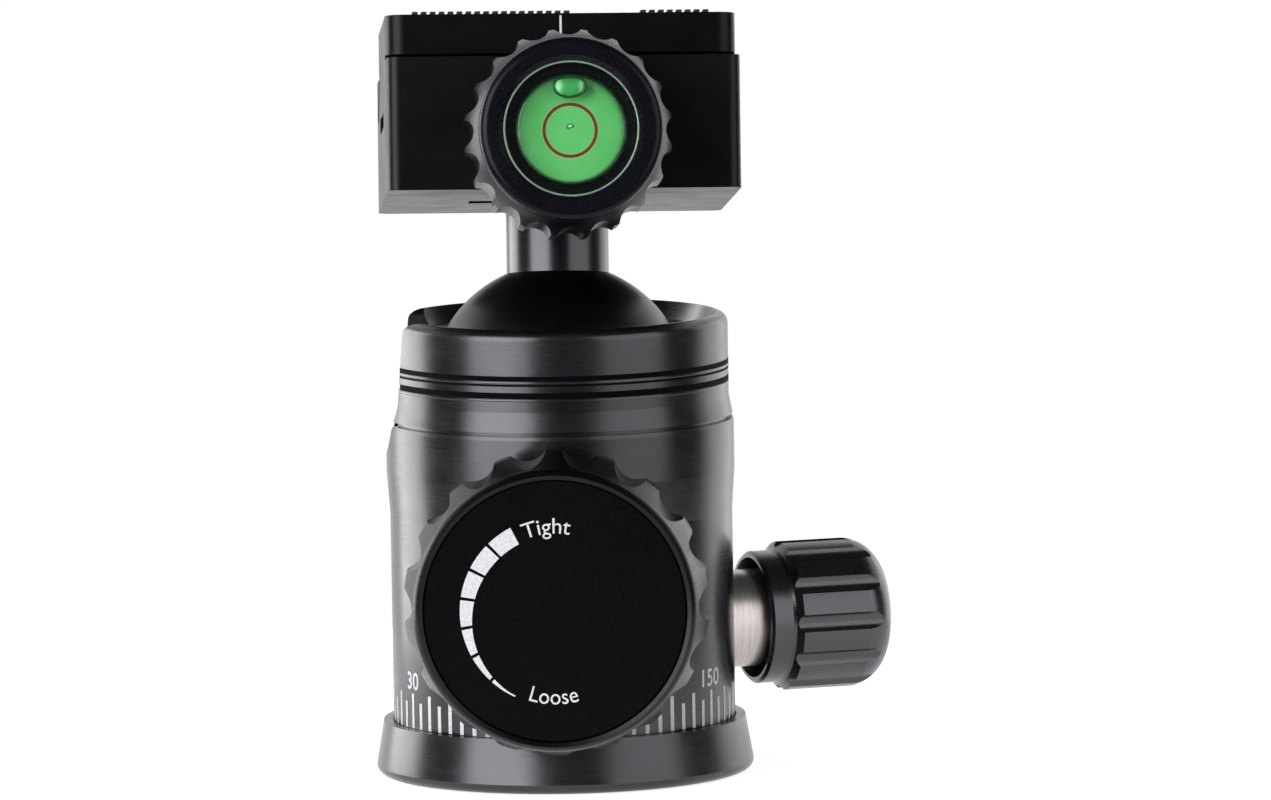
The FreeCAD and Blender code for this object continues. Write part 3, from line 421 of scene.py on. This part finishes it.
def printed_white():
    """White pad-printed ink, a little uneven."""
    material, tree, shader = started("white_print")
    grain = plain_noise(tree, 3500.0, 3.0)
    amount = between(tree, grain, 0.35, 0.65)
    shades = ((0.54, 0.54, 0.57, 1), (0.70, 0.70, 0.73, 1))
    put(tree, shader.inputs["Base Color"], tinted(tree, amount, *shades))
    put(tree, shader.inputs["Roughness"], between(tree, grain, 0.3, 0.7, 0.48, 0.62))
    bumped(tree, shader, grain, 2e-6)
    return material


finishes = {
    "base_ring": turned("black_base_finish", STANDING, BLACK, 0.26, tint=COOL),
    "housing": turned("black_housing_finish", STANDING, BLACK, 0.26, tint=COOL),
    "main_bushing": turned("black_bushing_finish", MAIN_FRAME, BLACK, 0.28, tint=COOL),
    "seat_ring": turned("black_ring_finish", STANDING, RING_BLACK, 0.42, level=0.3),
    "ball": turned("black_ball_finish", BALL_FRAME, BALL_BLACK, 0.33, tint=COOL, level=0.42),
    "stem": turned("grey_stem_finish", BALL_FRAME, BLACK, 0.24, tint=COOL),
    "clamp_body": blasted("clamp_finish", CLAMP_FRAME, MATT_BLACK, 0.36, tint=COOL, level=0.2),
    "movable_jaw": blasted("jaw_finish", CLAMP_FRAME, MATT_BLACK, 0.36, tint=COOL, level=0.2),
    "quick_plate": fine_blasted("plate_finish", CLAMP_FRAME, PLATE_BLACK, 0.34, 6.0, 0.15),
    "pad_left": blasted("pad_left_finish", CLAMP_FRAME, PAD_BLACK, 0.62, fleck=5.0, depth=4.0),
    "pad_right": blasted("pad_right_finish", CLAMP_FRAME, PAD_BLACK, 0.62, fleck=5.0, depth=4.0),
    "main_knob": fine_blasted("main_knob_finish", MAIN_FRAME, PLATE_BLACK, 0.3, 2.0, 0.2),
    "main_knob_cap": fine_blasted("main_cap_finish", MAIN_FRAME, MAIN_CAP_BLACK, 0.42, 3.0, 0.04),
    "pan_knob": fine_blasted("pan_knob_finish", PAN_FRAME, PAN_KNOB_BLACK, 0.26, 2.0, 1.0),
    "pan_knob_cap": fine_blasted("pan_cap_finish", PAN_FRAME, PAN_CAP_BLACK, 0.3, 2.0, 0.5),
    "clamp_knob": fine_blasted("clamp_knob_finish", KNOB_FRAME, CLAMP_KNOB_BLACK, 0.28, 2.0, 0.14),
    "pan_bushing": turned("nickel_finish", PAN_FRAME, NICKEL, 0.34, metallic=1.0, line_depth=0.35),
    "main_shaft": turned("main_shaft_steel", MAIN_FRAME, SHAFT_STEEL, 0.3, metallic=1.0),
    "pan_shaft": turned("pan_shaft_steel", PAN_FRAME, SHAFT_STEEL, 0.3, metallic=1.0),
    "clamp_screw": turned("clamp_screw_steel", KNOB_FRAME, STEEL, 0.3, metallic=1.0),
    "main_wedge": turned("wedge_steel", MAIN_FRAME, STEEL, 0.36, metallic=1.0),
    "pan_shoe": turned("shoe_brass", PAN_FRAME, BRASS, 0.34, metallic=1.0),
    "thread_insert": turned("insert_steel", STANDING, SHAFT_STEEL, 0.32, metallic=1.0),
    "pan_spindle": turned("spindle_metal", STANDING, GREY_METAL, 0.36, metallic=1.0),
    "pan_retainer": turned("retainer_metal", STANDING, GREY_METAL, 0.38, metallic=1.0),
    "ball_cup": turned("cup_metal", STANDING, CUP_METAL, 0.4, metallic=1.0),
    "base_screws": turned("base_screw_steel", STANDING, STEEL, 0.3, metallic=1.0),
    "retainer_screws": turned("retainer_screw_steel", STANDING, STEEL, 0.3, metallic=1.0),
    "stem_screw": turned("stem_screw_steel", CLAMP_FRAME, STEEL, 0.3, metallic=1.0),
    "guide_pins": turned("pin_steel", CLAMP_FRAME, PIN_STEEL, 0.25, metallic=1.0),
    "screw_washer": turned("washer_steel", CLAMP_FRAME, STEEL, 0.33, metallic=1.0),
    "camera_screw": turned("camera_screw_steel", CLAMP_FRAME, PIN_STEEL, 0.26, metallic=1.0),
    "glide_washer": blasted("glide_plastic", STANDING, (0.55, 0.55, 0.53, 1), 0.5, fleck=2.0),
    "ball_liner": blasted("liner_plastic", BALL_FRAME, (0.02, 0.02, 0.022, 1), 0.5, fleck=2.0),
    "level_vial": clear_plastic(),
    "level_disc": level_target(),
    "level_bubble": bubble_air(),
}
for node_name, node_object in frame["nodes"].items():
    node_object.data.materials.clear()
    node_object.data.materials.append(finishes[node_name])

ink = printed_white()


class Sheet:
    """Collects the corners and faces of one mesh."""

    def __init__(self):
        self.corners = []
        self.faces = []

    def patch(self, columns):
        """Joins columns of points by quads."""
        start = len(self.corners)
        height = len(columns[0])
        for column in columns:
            self.corners.extend(column)
        for i in range(len(columns) - 1):
            for j in range(height - 1):
                first = start + i * height + j
                self.faces.append((first, first + height, first + height + 1, first + 1))

    def outline(self, corners, faces):
        """Adds faces that count their own corners from zero."""
        start = len(self.corners)
        self.corners.extend(corners)
        for face in faces:
            self.faces.append(tuple(start + v for v in face))


def placed(name, content):
    """A new object of the scene with its content."""
    made = bpy.data.objects.new(name, content)
    bpy.context.scene.collection.objects.link(made)
    return made


def mesh_of(name, sheet):
    """A mesh from a sheet."""
    mesh = bpy.data.meshes.new(name)
    mesh.from_pydata([tuple(c) for c in sheet.corners], [], sheet.faces)
    return mesh


def piece(name, sheet, body):
    """A thin piece from a sheet in metres, riding on a body and finished as print."""
    mesh = mesh_of(name, sheet)
    mesh.update()
    made = placed(name, mesh)
    mesh.materials.append(ink)
    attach(made, body)
    return made


def letters(text, cap_height, width=None, weight=0.0):
    """A word's outline as points and faces, in millimetres, with its foot at zero, centred on x."""
    curve = bpy.data.curves.new("word", "FONT")
    curve.body = text
    curve.align_x = "CENTER"
    curve.resolution_u = 6
    curve.offset = weight
    holder = placed("word", curve)
    depsgraph = bpy.context.evaluated_depsgraph_get()
    shape = bpy.data.meshes.new_from_object(holder.evaluated_get(depsgraph))
    points = [v.co.copy() for v in shape.vertices]
    faces = [tuple(p.vertices) for p in shape.polygons]
    bpy.data.objects.remove(holder)
    bpy.data.curves.remove(curve)
    bpy.data.meshes.remove(shape)
    low = min(p.x for p in points)
    high = max(p.x for p in points)
    scale = cap_height / CAPITAL_SHARE
    stretch = scale if width is None else width / (high - low)
    middle = (low + high) / 2
    return [((p.x - middle) * stretch, p.y * scale) for p in points], faces


def arc(length, radius):
    """The angle of a length along a circle."""
    return length / radius * 180 / pi


def around(turn, radius, height):
    """A point round the z axis, by its angle from +X in radians."""
    return Vector((cos(turn) * radius, sin(turn) * radius, height))


def on_housing(azimuth, height):
    """A point on the housing's wall. Azimuth runs from the front towards +X."""
    turn = radians(azimuth)
    radius = HOUSING_RADIUS + PRINT_LIFT
    return Vector((sin(turn) * radius, -cos(turn) * radius, height)) * MM


def degree_scale():
    """The scale at the foot of the housing: a tick every 5 degrees and a number every 30."""
    ticks = Sheet()
    half = arc(TICK_HALF_WIDTH, HOUSING_RADIUS)
    for k in range(360 // TICK_STEP):
        azimuth = k * TICK_STEP - 180
        top = LONG_TICK_TOP if k % 2 == 0 else SHORT_TICK_TOP
        columns = []
        for side in (-half, 0, half):
            columns.append([on_housing(azimuth + side, height) for height in (TICK_FOOT, top)])
        ticks.patch(columns)
    piece("scale_ticks", ticks, "panning_housing")
    numbers = Sheet()
    for label in range(0, 360, NUMBER_STEP):
        azimuth = label - 90
        if label == COVERED_NUMBER:
            continue
        flat, faces = letters(str(label), NUMBER_HEIGHT, weight=NUMBER_WEIGHT)
        corners = [on_housing(azimuth + arc(x, HOUSING_RADIUS), NUMBER_FOOT + y) for x, y in flat]
        numbers.outline(corners, faces)
    piece("scale_numbers", numbers, "panning_housing")


def on_main_cap(radius, angle):
    """A point on the face of the main knob, by its angle from +X."""
    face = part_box("main_knob_cap")[0].y - FACE_LIFT * MM
    turn = radians(angle)
    return Vector((cos(turn) * radius * MM, face, MAIN_AXIS.z + sin(turn) * radius * MM))


def knob_print():
    """The print on the main knob: a tapering band in seven steps, and a word at each end."""
    band = Sheet()
    for k in range(BAND_STEPS):
        first = BAND_START + k * BAND_PITCH
        columns = []
        for step in range(BAND_CUTS + 1):
            angle = first + BAND_LENGTH * step / BAND_CUTS
            swing = BAND_SWING * cos(radians(angle - BAND_WIDEST_AT))
            width = max(BAND_MEAN_WIDTH + swing, BAND_LEAST_WIDTH)
            columns.append([on_main_cap(radius, angle) for radius in (BAND_RADIUS - width, BAND_RADIUS)])
        band.patch(columns)
    piece("knob_band", band, "main_knob")
    words = Sheet()
    tight = ("Tight", 94.8, 10.55, 1, 6.0)
    loose = ("Loose", 268.5, 12.6, -1, 6.9)
    for text, middle, foot, way, length in (tight, loose):
        flat, faces = letters(text, WORD_HEIGHT, length)
        words.outline([on_main_cap(foot + way * y, middle - way * arc(x, foot)) for x, y in flat], faces)
    piece("knob_words", words, "main_knob")


def plate_mark():
    """The short white line in the middle of the plate's front edge."""
    line = Sheet()
    front = PLATE_FRONT - PRINT_LIFT
    columns = []
    for x in (-MARK_HALF_WIDTH, MARK_HALF_WIDTH):
        columns.append([CLAMP_FRAME @ (Vector((x, front, z)) * MM) for z in (MARK_FOOT, MARK_TOP)])
    line.patch(columns)
    piece("plate_line", line, "plate")


def plain_finish(name, base, rough, level=0.5, metallic=0.0):
    """A smooth moulded or polished finish with a faint cloud in its gloss."""
    material, tree, shader = started(name)
    cloud = plain_noise(tree, 1500.0, 2.0)
    amount = between(tree, cloud, 0.35, 0.65)
    put(tree, shader.inputs["Base Color"], tinted(tree, amount, base, scaled(base, 1.25)))
    put(tree, shader.inputs["Roughness"], between(tree, cloud, 0.3, 0.7, rough - 0.04, rough + 0.04))
    shader.inputs["Specular IOR Level"].default_value = level
    shader.inputs["Metallic"].default_value = metallic
    bumped(tree, shader, cloud, 1e-6)
    return material


def finished_ring(made, material):
    """Gives a ring its finish, joins its strips and smooths it."""
    made.data.materials[0] = material
    weld = made.modifiers.new("weld", "WELD")
    weld.merge_threshold = WELD_REACH
    for polygon in made.data.polygons:
        polygon.use_smooth = True


def lathe(name, place, outline, body, material):
    """A ring turned round a frame's z axis from points of radius and height, in millimetres."""
    sheet = Sheet()
    columns = []
    for k in range(RING_SIDES + 1):
        turn = 2 * pi * k / RING_SIDES
        columns.append([place @ (around(turn, r, z) * MM) for r, z in outline])
    sheet.patch(columns)
    finished_ring(piece(name, sheet, body), material)


def collar_angles():
    """The directions in which the collar's wall stands, which is everywhere but at the notch."""
    housing = frame["nodes"]["housing"]
    standing = []
    for k in range(COLLAR_STEPS + 1):
        out = around(2 * pi * k / COLLAR_STEPS, 1, 0)
        hit, where, _, _ = housing.ray_cast(out * RAY_START + UP * COLLAR_MIDDLE * MM, -out)
        standing.append(hit and where.xy.length > (COLLAR_RADIUS - NOTCH_MARGIN) * MM)
    return standing


def collar_ring(name, outline, material, standing):
    """A ring on the collar from points of radius and height, left out at the notch."""
    sheet = Sheet()
    for k in range(COLLAR_STEPS):
        if not (standing[k] and standing[k + 1]):
            continue
        columns = []
        for step in (k, k + 1):
            turn = 2 * pi * step / COLLAR_STEPS
            columns.append([around(turn, r, z) * MM for r, z in outline])
        sheet.patch(columns)
    finished_ring(piece(name, sheet, "panning_housing"), material)


def half_round(radius, height):
    """The outline of a low bead that stands a little proud of a wall."""
    turns = [pi * k / BEAD_STEPS for k in range(BEAD_STEPS + 1)]
    return [(radius + BEAD_PROUD * sin(turn), height - BEAD_HALF_HEIGHT * cos(turn)) for turn in turns]


def collar_trim():
    """Flat dark bands of painted shade on the collar's wall, two of them over its grooves and one on the
    plain wall between them, and two polished beads.
    """
    shade = plain_finish("groove_shade", (0.0006, 0.0006, 0.0008, 1), 0.7, 0.05)
    bright = plain_finish("lip_polish", (0.012, 0.012, 0.014, 1), 0.2, 1.0, 0.25)
    standing = collar_angles()
    lift = COLLAR_RADIUS + SLEEVE_LIFT
    # Painted shade: near-black sleeves stand for the shade in the grooves; the middle one lies on the
    # plain wall, where there is no groove.
    bands = (("painted_shade_groove_top", 56.25, 56.95), ("painted_shade_groove_middle", 55.55, 55.85), ("groove_low", 53.85, 54.7))
    for name, low, high in bands:
        collar_ring(name, [(lift, low), (lift, high)], shade, standing)
    for name, middle in (("lip_bead_top", 56.05), ("lip_bead_low", 53.62)):
        collar_ring(name, half_round(COLLAR_RADIUS, middle), bright, standing)


def depth_of(node):
    """The lowest and highest place of a node along the clamp knob's axis, in millimetres."""
    back = KNOB_FRAME.inverted()
    depths = [(back @ v.co).z / MM for v in frame["nodes"][node].data.vertices]
    return min(depths), max(depths)


def bubble_finish():
    """The bubble from the front, as painted light: a darker middle of painted shade between two bright
    crescents of painted highlight.
    """
    material, tree, shader = started("bubble_lens_painted_light")
    point = local_point(tree, KNOB_FRAME)
    aside = compute(tree, "ABSOLUTE", parts_of(tree, point)[0])
    cloud = noise(tree, point, 1.5, 2.0)
    # Painted highlight: the colour brightens towards the bubble's two sides.
    crescent = between(tree, aside, 0.9, 1.5)
    green = tinted(tree, crescent, (0.045, 0.33, 0.10, 1), (0.30, 0.72, 0.34, 1))
    amount = between(tree, cloud, 0.4, 0.6, 0.0, 0.3)
    put(tree, shader.inputs["Base Color"], tinted(tree, amount, green, (0.10, 0.50, 0.16, 1)))
    put(tree, shader.inputs["Roughness"], between(tree, cloud, 0.3, 0.7, 0.3, 0.4))
    return material


def bubble_outline(front):
    """The bubble's corners as seen from the front: flatter above than below."""
    corners = []
    for k in range(BUBBLE_SIDES):
        turn = 2 * pi * k / BUBBLE_SIDES
        above = sin(turn) > 0
        lift = BUBBLE_RISE * abs(sin(turn)) ** BUBBLE_SHOULDER if above else BUBBLE_FALL * sin(turn)
        corners.append(Vector((BUBBLE_HALF_WIDTH * cos(turn) + BUBBLE_X, BUBBLE_Y + lift, front)))
    return corners


def lens_sheet(middle, corners, front):
    """A dome over the bubble's outline, highest in the middle."""
    sheet = Sheet()
    columns = []
    for k in range(BUBBLE_SIDES + 1):
        columns.append([])
        for step in range(BUBBLE_RINGS + 1):
            share = step / BUBBLE_RINGS
            point = middle.lerp(corners[k % BUBBLE_SIDES], share)
            point.z = front - BUBBLE_DEPTH * (1 - sqrt(max(0.0, 1 - share * share)))
            columns[-1].append(KNOB_FRAME @ (point * MM))
    sheet.patch(columns)
    return sheet


def edge_sheet(middle, corners):
    """A thin round wire along the bubble's outline, a little behind it."""
    sheet = Sheet()
    columns = []
    for k in range(BUBBLE_SIDES + 1):
        corner = corners[k % BUBBLE_SIDES] - UP * EDGE_BACK
        out = corner - middle
        out.z = 0
        out.normalize()
        columns.append([])
        for j in range(WIRE_SIDES + 1):
            turn = 2 * pi * j / WIRE_SIDES
            point = corner + (out * cos(turn) + UP * sin(turn)) * EDGE_WIRE
            columns[-1].append(KNOB_FRAME @ (point * MM))
    sheet.patch(columns)
    return sheet


def level_details():
    """The vial's rim as a pale wire of painted highlight, and the bubble under its top edge, with
    painted light and painted shade in its colours.
    """
    # Painted highlight: a pale glossy wire on the vial's rim stands for the bright line of light along
    # the vial's edge.
    edge = plain_finish("vial_edge_painted_highlight", (0.17, 0.25, 0.19, 1), 0.25, 1.0)
    height = depth_of("level_vial")[1] - VIAL_STEP - RIM_DROP
    turns = [2 * pi * k / WIRE_SIDES for k in range(WIRE_SIDES + 1)]
    circle = [(RIM_RADIUS + RIM_WIRE * cos(turn), height + RIM_WIRE * sin(turn)) for turn in turns]
    lathe("vial_rim_painted_highlight", KNOB_FRAME, circle, "clamp_knob", edge)
    front = depth_of("level_bubble")[1] - BUBBLE_INSET
    middle = Vector((BUBBLE_X, BUBBLE_Y, front))
    corners = bubble_outline(front)
    lens = piece("bubble_lens", lens_sheet(middle, corners, front), "clamp_knob")
    finished_ring(lens, bubble_finish())
    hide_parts("level_bubble")
    # Painted shade: a dark green wire along the bubble's outline stands for the shade at the bubble's
    # rim.
    dark = plain_finish("bubble_edge_painted_shade", (0.006, 0.05, 0.014, 1), 0.3, 0.6)
    wire = piece("bubble_shade_edge", edge_sheet(middle, corners), "clamp_knob")
    finished_ring(wire, dark)


degree_scale()
knob_print()
plate_mark()
collar_trim()
level_details()

# The stage, in metres.
FLOOR_SIDES = 64
FLOOR_RADIUS = 0.16
FLOOR_DROP = 0.0002
CLOTH_REACH = 3.2
CLOTH_STEP = 10
CLOTH_SIDE = 101
CLOTH_ROOF = 40
LAMP_REACH = 1.3
LAMP_TARGET = Vector((0, 0, 0.05))


def direction(azimuth, rise):
    """A direction by its azimuth from the front towards +X and its rise."""
    turn = radians(azimuth)
    lift = radians(rise)
    return Vector((sin(turn) * cos(lift), -cos(turn) * cos(lift), sin(lift)))


def white_floor():
    """A round pale table top under the part."""
    top = Sheet()
    turns = [2 * pi * k / FLOOR_SIDES for k in range(FLOOR_SIDES)]
    corners = [around(turn, FLOOR_RADIUS, -FLOOR_DROP) for turn in turns]
    top.outline(corners, [range(FLOOR_SIDES)])
    mesh = mesh_of("table_top", top)
    made = placed("table_top", mesh)
    material, tree, shader = started("white_table")
    grain = plain_noise(tree, 900.0, 3.0)
    shades = ((0.84, 0.84, 0.84, 1), (0.88, 0.88, 0.88, 1))
    put(tree, shader.inputs["Base Color"], tinted(tree, grain, *shades))
    shader.inputs["Roughness"].default_value = 0.8
    shader.inputs["Specular IOR Level"].default_value = 0.1
    glow = add(tree, "ShaderNodeEmission", Color=(1, 1, 1, 1), Strength=0.8)
    seen = seen_directly(tree)
    none = add(tree, "ShaderNodeEmission", Color=(0, 0, 0, 1), Strength=0.0)
    light = mixed(tree, seen, none.outputs[0], glow.outputs[0])
    both = tree.nodes.new("ShaderNodeAddShader")
    put(tree, both.inputs[0], shader.outputs[0])
    put(tree, both.inputs[1], light)
    shown(tree, both.outputs[0])
    mesh.materials.append(material)


def dark_room():
    """Dark cloth round the camera side and overhead, which only reflections see."""
    sheet = Sheet()
    for azimuth in range(-180, 180, CLOTH_STEP):
        for rise in range(-60, 90, CLOTH_STEP):
            front = -CLOTH_SIDE <= azimuth <= CLOTH_SIDE
            if not (front or rise >= CLOTH_ROOF):
                continue
            columns = []
            for a in (azimuth, azimuth + CLOTH_STEP):
                columns.append([direction(a, e) * CLOTH_REACH for e in (rise, rise + CLOTH_STEP)])
            sheet.patch(columns)
    mesh = mesh_of("dark_cloth", sheet)
    made = placed("dark_cloth", mesh)
    material, tree, _ = started("dark_cloth_finish")
    weave = plain_noise(tree, 2.0, 2.0)
    shade = tinted(tree, weave, (0.05, 0.05, 0.055, 1), (0.07, 0.07, 0.075, 1))
    glow = add(tree, "ShaderNodeEmission", Color=shade, Strength=1.0)
    shown(tree, glow.outputs[0])
    mesh.materials.append(material)
    made.visible_camera = False
    made.visible_diffuse = False
    made.visible_shadow = False


def softbox(name, azimuth, rise, width, height, brightness):
    """A rectangular lamp facing the part, by its direction, its size and its plain brightness."""
    lamp = bpy.data.lights.new(name, "AREA")
    lamp.shape = "RECTANGLE"
    lamp.size = width
    lamp.size_y = height
    lamp.energy = brightness * pi * width * height
    made = placed(name, lamp)
    out = direction(azimuth, rise)
    made.location = LAMP_TARGET + out * LAMP_REACH
    made.rotation_mode = "QUATERNION"
    made.rotation_quaternion = out.to_track_quat("Z", "Y")
    made.visible_camera = False


def studio():
    """White surroundings for what the camera sees, two softboxes in front and two rim lamps."""
    world = bpy.data.worlds.new("studio")
    bpy.context.scene.world = world
    world.use_nodes = True
    tree = world.node_tree
    plain = tree.nodes["Background"]
    plain.inputs["Color"].default_value = (1, 1, 1, 1)
    plain.inputs["Strength"].default_value = 0.12
    white = add(tree, "ShaderNodeBackground", Color=(1, 1, 1, 1), Strength=1.0)
    mix = mixed(tree, seen_directly(tree), plain.outputs[0], white.outputs[0])
    put(tree, tree.nodes["World Output"].inputs["Surface"], mix)
    softbox("left_softbox", -40, 14, 1.06, 1.1, 5.8)
    softbox("right_softbox", 53, 14, 1.16, 1.1, 1.9)
    softbox("left_rim", -119, 3, 0.8, 0.9, 4.2)
    softbox("right_rim", 137, 3, 0.9, 0.9, 0.9)


def camera():
    """The photograph's view: a long lens, a little above the part and almost in front of it."""
    target = Vector((0, 0, 0.055))
    reach = 1.5
    roll = radians(0.97)
    focal_pixels = 10880
    pixels_right = 76.5
    pixels_down = 27
    back = direction(1.55, 5.97)
    right = (-back).cross(UP).normalized()
    up = right.cross(-back)
    leaned_right = right * cos(roll) - up * sin(roll)
    leaned_up = up * cos(roll) + right * sin(roll)
    aim = -back * focal_pixels + leaned_right * pixels_right - leaned_up * pixels_down
    forward = aim.normalized()
    leaned_right = (leaned_right - forward * leaned_right.dot(forward)).normalized()
    leaned_up = leaned_right.cross(forward)
    lens = bpy.data.cameras.new("photo_camera")
    lens.lens = 308.2
    lens.sensor_width = 36
    lens.clip_start = 0.1
    lens.clip_end = 20
    made = placed("photo_camera", lens)
    axes = Matrix((leaned_right, leaned_up, -forward)).transposed()
    made.matrix_world = Matrix.Translation(target + back * reach) @ axes.to_4x4()
    bpy.context.scene.camera = made


white_floor()
dark_room()
studio()
camera()
bpy.context.scene.view_settings.view_transform = "Standard"
